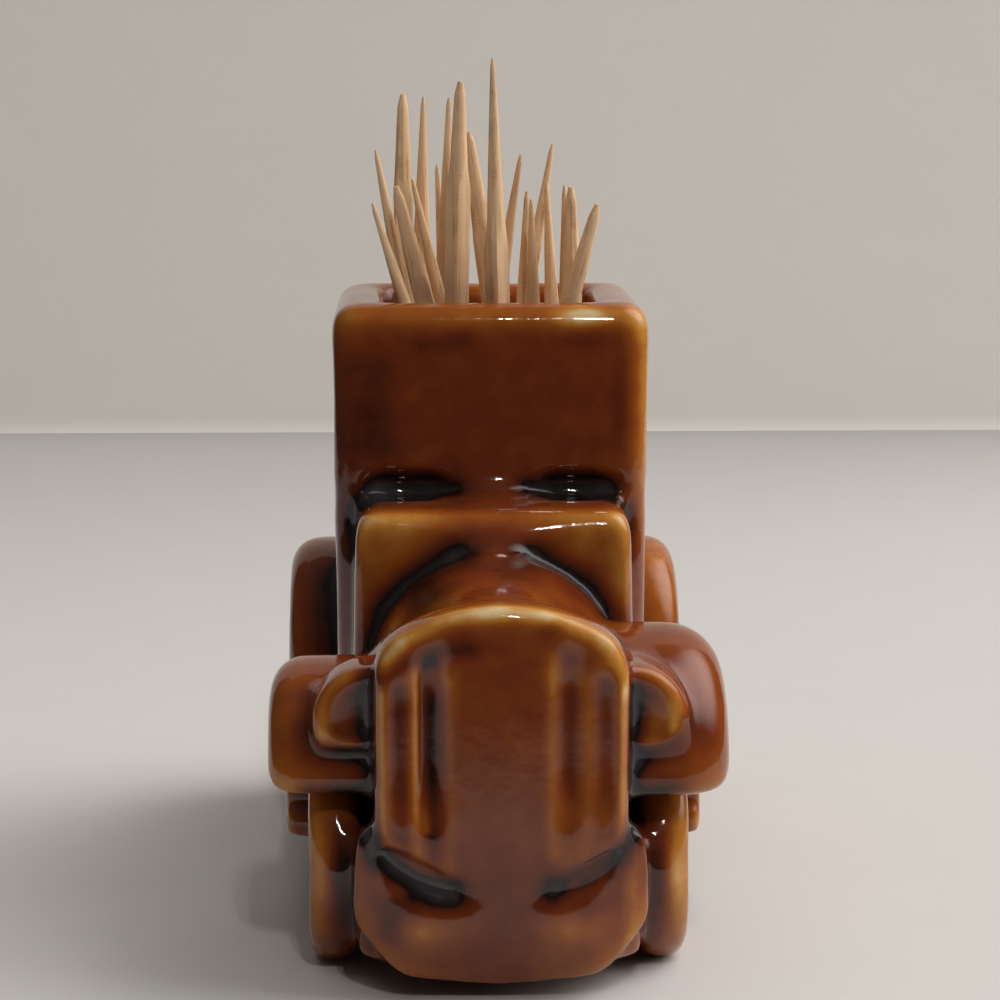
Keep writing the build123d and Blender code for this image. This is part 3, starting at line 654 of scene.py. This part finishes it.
def glow(points, middle, spread):
    """How near each point is to a middle: 1 there and 0 far off."""
    return np.exp(-(((points - middle) / spread) ** 2).sum(1))


def beside(points, stops, width):
    """How near each point is to a line that runs on the front: 1 on it and 0 far off."""
    nearest = np.full(len(points), np.inf)
    for start, stop in zip(stops, stops[1:]):
        run = np.subtract(stop, start)
        share = np.clip((points - start) @ run / (run @ run), 0, 1)
        away = points - start - np.outer(share, run)
        nearest = np.minimum(nearest, (away ** 2 * (1, 0.1, 1)).sum(1))
    return np.exp(-nearest / width ** 2)


def glaze_depth_and_painted_light(surface, points, normals):
    """How thick the glaze lies on each point, from 0 on sharp edges to DEEPEST in deep pools, with the
    painted shade, painted light and painted reflection of some patches added.
    """
    depth = np.full(len(points), FLAT_DEPTH)
    for turns, (*edge, thinned), (*hollow, gathered) in RELIEF:
        proud = np.einsum("ij,ij->i", points - surface.smooth(points, turns), normals)
        depth += ramp(-proud, *hollow) * gathered - ramp(proud, *edge) * thinned
    depth = surface.smooth(depth, FLOW_TURNS)
    for middle, spread, change in PATCHES:
        depth += change * glow(points, middle, spread)
    for width, change, stops in STREAKS:
        depth += change * beside(points, stops, width)
    return depth


def slot_top(across):
    """How high the slots under the radiator reach, at a distance from the car's middle."""
    return SLOT_TOP + SLOT_SLOPE * np.maximum(across - SLOT_LEVEL_HALF, 0)


def levelled(points):
    """The points with the grille's panel level with its frame, its grooves running out at the foot."""
    x, y, z = points.T
    across = np.abs(x)
    inside = (across < PANEL_HALF) & (z > slot_top(across) + SLOT_RIM) & (z < PANEL_TOP)
    inside &= (y > PANEL_FRONT) & (y < PANEL_BACK)
    depth = (y - PANEL_SUNK - RADIATOR_FRONT) * ramp(z, *GROOVES_RUN_OUT)
    shell = (y < GROOVE_BACK) & (z > SLOT_FOOT + 1) & (z < PANEL_TOP + 1)
    aside = GROOVE_SHIFT * np.exp(-((x - GROOVE_MIDDLE) / GROOVE_SPREAD) ** 2)
    points = points.copy()
    points[:, 1] = np.where(inside, RADIATOR_FRONT + depth, y)
    points[:, 0] += np.where(shell, aside, 0.0)
    return points


def filled(points):
    """The points with the slots under the radiator nearly filled, the right one more than the left."""
    x, y, z = points.T
    across = np.abs(x)
    front = SLOT_FRONT + SLOT_BEND * (across / SLOT_HALF) ** 2
    floor = front + np.where(x > 0, SLOT_DEPTH_RIGHT, SLOT_DEPTH_LEFT)
    inside = (across < SLOT_HALF) & (z > SLOT_FOOT) & (z < slot_top(across))
    inside &= (y > floor) & (y < SLOT_BACK)
    points = points.copy()
    points[inside, 1] = floor[inside]
    return points


def drowned(points):
    """How far the glaze drowned the form at each point, from 0 to 1; the windscreen is drowned whole."""
    x, y, z = points.T
    across = 1 - ramp(np.abs(x), *SCREEN_SIDES)
    up = ramp(z, *SCREEN_FOOT) * (1 - ramp(z, *SCREEN_TOP))
    share = across * up * (1 - ramp(y, *SCREEN_BACK))
    for middle, spread, most in DROWNED:
        share = np.maximum(share, most * glow(points, middle, spread))
    return share


def ripples(points, sizes):
    """How far the slow waves in the glaze move each point, nearly always inward."""
    length, short_share, times_shorter = sizes.wave_length / MM, 0.4, 2.3
    height = waves(points, length, 1) + short_share * waves(points, length / times_shorter, 2) - 1
    return height * sizes.waviness / MM / 2 * ramp(points[:, 2], *WAVES_BEGIN)


class HOLDER_OT_casting(bpy.types.Operator):
    """Makes the glazed casting from its solid: soft edges, slow waves and the glaze's thickness"""

    bl_idname = "holder.casting"
    bl_label = "Glazed casting"

    def execute(self, context):
        sizes = context.scene.holder_casting
        mesh = remeshed(frame["nodes"][CASTING], sizes.grain)
        surface = Surface(mesh)
        points = filled(levelled(points_of(mesh) / MM))
        depth = glaze_depth_and_painted_light(surface, points, normals_of(mesh))
        points = surface.smooth(points, sizes.softening)
        share = drowned(points)[:, None]
        points = points * (1 - share) + surface.smooth(points, sizes.drowning) * share
        put_points(mesh, points)
        shift = ripples(points, sizes)[:, None]
        points = surface.smooth(points + normals_of(mesh) * shift, LAST_TURNS)
        put_points(mesh, points)
        # the stored thickness includes the patches' painted shade, painted light and painted reflection
        store(mesh, "glaze_depth_and_painted_light", np.clip(surface.smooth(depth, BLEND_TURNS), 0, DEEPEST))
        store(mesh, "bare_clay", 1 - ramp(points[:, 2], *FOOT_EDGE))
        shade_smooth(mesh)
        casting = bpy.data.objects.new("glazed_casting", mesh)
        context.scene.collection.objects.link(casting)
        mesh.materials.clear()
        mesh.materials.append(glaze_material(context.scene.holder_glaze))
        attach(casting, CASTING)
        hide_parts(CASTING)
        return {"FINISHED"}


# ---- the toothpicks ----

# Half the angle that a solid's broken corner covers, and how far out a point counts as corner
CORNER_HALF_ANGLE = math.radians(7.3)
CORNER_REACH = 0.98

# Where points stand on each side of the square section, in halves of the side
SIDE_PLACES = (-0.80, -0.40, 0.0, 0.40, 0.80)

# How much nearer the rings of points stand at the ends, and the play left inside the solid
CROWDING = 0.09
INSIDE_SOLID = 0.97

# How crooked a toothpick is, in millimetres, and how far its arrises stray for its roughness
CROOKED = 0.03
RIDGES = 0.6

# The turned cone that cuts the square's corners, over the width: at the tips, and more in the middle
CONE_TIP = 1.12
CONE_MORE = 0.30
CONE_FADE = (0.85, 1.0)

# The angle from which an edge of a toothpick is sharp
SHARP_FROM = math.radians(28)


class Stick:
    """One toothpick's axis, ends and turn, read from its solid."""

    def __init__(self, node, axis):
        self.along = Vector(axis).normalized()
        points = points_of(node.data)
        along = np.array(self.along)
        runs = points @ along
        middle = points.mean(0)
        self.foot, self.top = runs.min(), runs.max()
        self.centre = middle - along * (middle @ along)
        side = np.cross((0, 1, 0), along)
        self.across = side / np.linalg.norm(side)
        self.over = np.cross(along, self.across)
        loose = points - self.centre - np.outer(runs, along)
        x, y = loose @ self.across, loose @ self.over
        widest = np.hypot(x, y)
        corners = widest > widest.max() * CORNER_REACH
        turns = np.arctan2(y[corners], x[corners]) * 4
        self.turn = (math.atan2(np.sin(turns).mean(), np.cos(turns).mean()) - math.pi) / 4
        self.half = widest.max() * math.cos(CORNER_HALF_ANGLE) / math.sqrt(2)
        end_face = 0.01 * MM
        low = widest[runs < self.foot + end_face].max()
        high = widest[runs > self.top - end_face].max()
        self.sharp_up = high < low


def thickness(from_blunt, length):
    """The toothpick's width over its middle's, at a distance in millimetres from its blunt end."""
    blunt_taper, sharp_taper, blunt_tip, sharp_tip = 11.0, 19.0, 0.45, 0.19
    blunt_nose, sharp_nose, nose_start = 1.2, 0.8, 0.5
    from_sharp = length - from_blunt
    blunt = blunt_tip + (1 - blunt_tip) * min(from_blunt / blunt_taper, 1)
    sharp = sharp_tip + (1 - sharp_tip) * min(from_sharp / sharp_taper, 1)
    rounded = min(from_blunt / blunt_nose, from_sharp / sharp_nose)
    return min(blunt, sharp) * min(1, nose_start + rounded * (1 - nose_start))


def ring_places(length, count):
    """How far along the toothpick each ring of points stands; they crowd towards the ends."""
    shares = [k / count for k in range(count + 1)]
    return [length * (t - math.sin(2 * math.pi * t) * CROWDING) for t in shares]


def square_section():
    """The square section's points, two units across, in order round the axis."""
    section = []
    for quarter in range(4):
        c, s = math.cos(quarter * math.pi / 2), math.sin(quarter * math.pi / 2)
        section += [(c - place * s, s + place * c) for place in SIDE_PLACES]
    return np.array(section)


def tube_faces(rings, ring):
    """The faces of a closed tube: its rings joined in order, and its two ends."""
    faces = []
    for k in range(rings - 1):
        for n in range(ring):
            m = (n + 1) % ring
            faces.append((k * ring + n, k * ring + m, (k + 1) * ring + m, (k + 1) * ring + n))
    faces.append(tuple(reversed(range(ring))))
    faces.append(tuple((rings - 1) * ring + n for n in range(ring)))
    return faces


def stick_mesh(stick, name, seed, settings):
    """A split square stick with tapered ends, slightly crooked, with broken arrises."""
    rng = np.random.default_rng(seed)
    length = (stick.top - stick.foot) / MM
    section = square_section()
    rough = settings.roughen / MM
    ridges = rng.normal(0, 1, len(section)) * rough * RIDGES
    lean = rng.normal(0, 1, (2, 3)) * CROOKED
    half = stick.half / MM * INSIDE_SOLID
    centre, along = stick.centre / MM, np.array(stick.along)
    c, s = math.cos(stick.turn), math.sin(stick.turn)
    shift, grain_across, grain_along = seed * 17.0, 2.0, 0.35
    points, local = [], []
    steps = ring_places(length, settings.rings)
    for step in steps:
        place = length - step if not stick.sharp_up else step
        width = thickness(place, length) * half
        share = step / length
        bend = lean[:, 0] * math.sin(math.pi * share) + lean[:, 1] * math.sin(2 * math.pi * share)
        cone = width * (CONE_TIP + CONE_MORE * ramp(width / half, *CONE_FADE))
        on_axis = centre + along * (stick.foot / MM + step)
        for (x, y), ridge in zip(section, ridges):
            reach = min(half, cone / math.hypot(x, y))
            grain = Vector((x * grain_across + shift, y * grain_across, step * grain_along))
            stray = ridge + noise.noise(grain) * rough - rough
            grow = 1 + stray * (width / half) / half
            px, py = x * reach * grow, y * reach * grow
            ox, oy = px * c - py * s + bend[0], px * s + py * c + bend[1]
            points.append(on_axis + stick.across * ox + stick.over * oy)
            local.append((x * reach + shift, y * reach, step))
    thing = joined(np.array(points) * MM, tube_faces(len(steps), len(section)), name)
    layer = thing.data.attributes.new("grain_place", "FLOAT_VECTOR", "POINT")
    layer.data.foreach_set("vector", (np.array(local) * MM).astype(np.float32).ravel())
    store(thing.data, "stick_tone", np.full(len(points), rng.uniform(0, 1)))
    shade_smooth(thing.data)
    thing.data.set_sharp_from_angle(angle=SHARP_FROM)
    return thing


class HOLDER_OT_toothpicks(bpy.types.Operator):
    """Makes the wooden toothpicks, each on its own solid's axis"""

    bl_idname = "holder.toothpicks"
    bl_label = "Toothpicks"

    def execute(self, context):
        settings = context.scene.holder_wood
        wood = wood_material(settings)
        for seed, joint in enumerate(frame["joints"], 1):
            name = joint["child"]
            stick = Stick(frame["nodes"][name], joint["axis"])
            thing = stick_mesh(stick, "split_" + name, seed, settings)
            thing.data.materials.append(wood)
            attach(thing, name)
            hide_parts(name)
        return {"FINISHED"}


# ---- the stage ----

# The backdrop, in metres: its near edge, half its width, its height and the radius of its fold
TABLE_NEAR = -0.8
BACKDROP_HALF = 0.26
WALL_TOP = 0.5
FOLD_RADIUS = 0.006
FOLD_STEPS = 6

# The lamps: name, place, size, power and colour, and whether the glaze mirrors it
AIM = (0, -0.01, 0.04)
LAMPS = (
    ("window_right", (0.85, 0.08, 0.62), (1.1, 1.0), 8.0, (1.0, 0.985, 0.96), False),
    ("ceiling", (0.05, 0.08, 0.90), (1.2, 1.2), 3.4, (1.0, 0.97, 0.93), False),
    ("lamp_near", (0.040, -0.42, 0.45), (0.008, 0.060), 0.25, (1.0, 0.96, 0.90), True),
    ("lamp_right", (0.062, -0.42, 0.42), (0.007, 0.055), 0.25, (1.0, 1.0, 1.0), True),
)

# The room as the glaze mirrors it: where the walls end and the ceiling begins, by how far up one
# looks, the way to the window, and how near to that way its light begins and is full
WALLS_END = 0.35
CEILING_BEGINS = 0.85
WINDOW_WAY = (0.70, 0.20, 0.68)
WINDOW_EDGE = (0.80, 0.99)

# The camera: its place in metres, its angles down and to the side, and its lens in millimetres
CAMERA_PLACE = (-0.0075, -0.295, 0.0815)
CAMERA_DOWN = 8.6
CAMERA_ASIDE = -1.66
CAMERA_LENS = 111.9
CAMERA_FILM = 36


def lamp(name, place, size, power, colour, mirrored):
    """A rectangular lamp that shines at the car."""
    data = bpy.data.lights.new(name, "AREA")
    data.shape = "RECTANGLE"
    data.size, data.size_y = size
    data.energy = power
    data.color = colour
    thing = bpy.data.objects.new(name, data)
    bpy.context.scene.collection.objects.link(thing)
    thing.location = place
    thing.rotation_euler = (Vector(AIM) - Vector(place)).to_track_quat("-Z", "Y").to_euler()
    thing.visible_glossy = mirrored


def table_and_wall(settings):
    """The table and the wall behind it, in one sheet with a small fold between them."""
    back = settings.wall_place
    profile = [(TABLE_NEAR, 0.0), (back - FOLD_RADIUS, 0.0)]
    for k in range(1, FOLD_STEPS + 1):
        a = math.pi / 2 * k / FOLD_STEPS
        profile.append((back - FOLD_RADIUS * (1 - math.sin(a)), FOLD_RADIUS * (1 - math.cos(a))))
    profile.append((back, WALL_TOP))
    points, faces = [], []
    for y, z in profile:
        points += [(-BACKDROP_HALF, y, z), (BACKDROP_HALF, y, z)]
    for k in range(len(profile) - 1):
        faces.append((2 * k, 2 * k + 1, 2 * k + 3, 2 * k + 2))
    backdrop = joined(points, faces, "table_and_wall")
    for name, colour in (("pale_table", settings.table), ("pale_wall", settings.wall)):
        backdrop.data.materials.append(stage_material(name, colour, settings.mirrored_near_shade))
    for face in backdrop.data.polygons:
        face.material_index = 1 if face.center.z > FOLD_RADIUS / 2 else 0
    shade_smooth(backdrop.data)
    return backdrop


def room(settings):
    """The light of the room round the stage, with its window and its pale far side."""
    world = bpy.data.worlds.new("room")
    world.use_nodes = True
    tree = world.node_tree
    way = add(tree, "ShaderNodeTexCoord").outputs["Generated"]
    upward = add(tree, "ShaderNodeSeparateXYZ", {"Vector": way}).outputs["Z"]
    walls = colours(tree, maths(tree, "MAXIMUM", upward, 0.0), [
        (0.0, settings.dim_side), (WALLS_END, settings.dim_side), (CEILING_BEGINS, settings.bright_top),
    ])
    towards = add(tree, "ShaderNodeVectorMath", {0: way, 1: WINDOW_WAY}, operation="DOT_PRODUCT")
    lit = mixed(tree, fade(tree, towards.outputs["Value"], *WINDOW_EDGE), walls, settings.window)
    seen = add(tree, "ShaderNodeLightPath").outputs["Is Camera Ray"]
    background = tree.nodes["Background"]
    tree.links.new(mixed(tree, seen, lit, settings.beyond), background.inputs["Color"])
    background.inputs["Strength"].default_value = settings.sky
    return world


def front_camera():
    """The camera in front of the car, a little over it."""
    data = bpy.data.cameras.new("camera")
    data.sensor_width = CAMERA_FILM
    data.lens = CAMERA_LENS
    data.clip_start = 0.01
    camera = bpy.data.objects.new("camera", data)
    bpy.context.scene.collection.objects.link(camera)
    camera.location = CAMERA_PLACE
    camera.rotation_euler = (math.radians(90 - CAMERA_DOWN), 0, math.radians(CAMERA_ASIDE))
    return camera


class HOLDER_OT_stage(bpy.types.Operator):
    """Sets the table, the wall, the lamps and the camera"""

    bl_idname = "holder.stage"
    bl_label = "Stage"

    def execute(self, context):
        scene = context.scene
        table_and_wall(scene.holder_stage)
        for name, place, size, power, colour, mirrored in LAMPS:
            lamp(name, place, size, power, colour, mirrored)
        scene.world = room(scene.holder_stage)
        scene.camera = front_camera()
        scene.view_settings.view_transform = "Standard"
        return {"FINISHED"}


# ---- panel and registration ----

class HOLDER_PT_panel(bpy.types.Panel):
    """Lists the pieces and their settings"""

    bl_idname = "HOLDER_PT_panel"
    bl_label = "Toothpick holder"
    bl_space_type = "VIEW_3D"
    bl_region_type = "UI"
    bl_category = "Holder"

    def draw(self, context):
        for operator, group in PIECES:
            self.layout.operator(operator)
            for name in group:
                settings = getattr(context.scene, name)
                for field in settings.bl_rna.properties:
                    if not field.is_readonly and field.identifier != "name":
                        self.layout.prop(settings, field.identifier)


PIECES = (
    ("holder.casting", ("holder_casting", "holder_glaze")),
    ("holder.toothpicks", ("holder_wood",)),
    ("holder.stage", ("holder_stage",)),
)
SETTINGS = {
    "holder_casting": CastingSettings,
    "holder_glaze": GlazeSettings,
    "holder_wood": WoodSettings,
    "holder_stage": StageSettings,
}
CLASSES = (
    CastingSettings, GlazeSettings, WoodSettings, StageSettings,
    HOLDER_OT_casting, HOLDER_OT_toothpicks, HOLDER_OT_stage, HOLDER_PT_panel,
)


def register():
    """Registers the classes and hangs the settings on the scene."""
    for cls in CLASSES:
        bpy.utils.register_class(cls)
    for name, cls in SETTINGS.items():
        setattr(bpy.types.Scene, name, bpy.props.PointerProperty(type=cls))


def unregister():
    """Takes the settings and the classes away again."""
    for name in SETTINGS:
        delattr(bpy.types.Scene, name)
    for cls in reversed(CLASSES):
        bpy.utils.unregister_class(cls)


def main():
    """Makes every piece in order."""
    register()
    bpy.ops.holder.casting()
    bpy.ops.holder.toothpicks()
    bpy.ops.holder.stage()


if __name__ == "__main__":
    main()
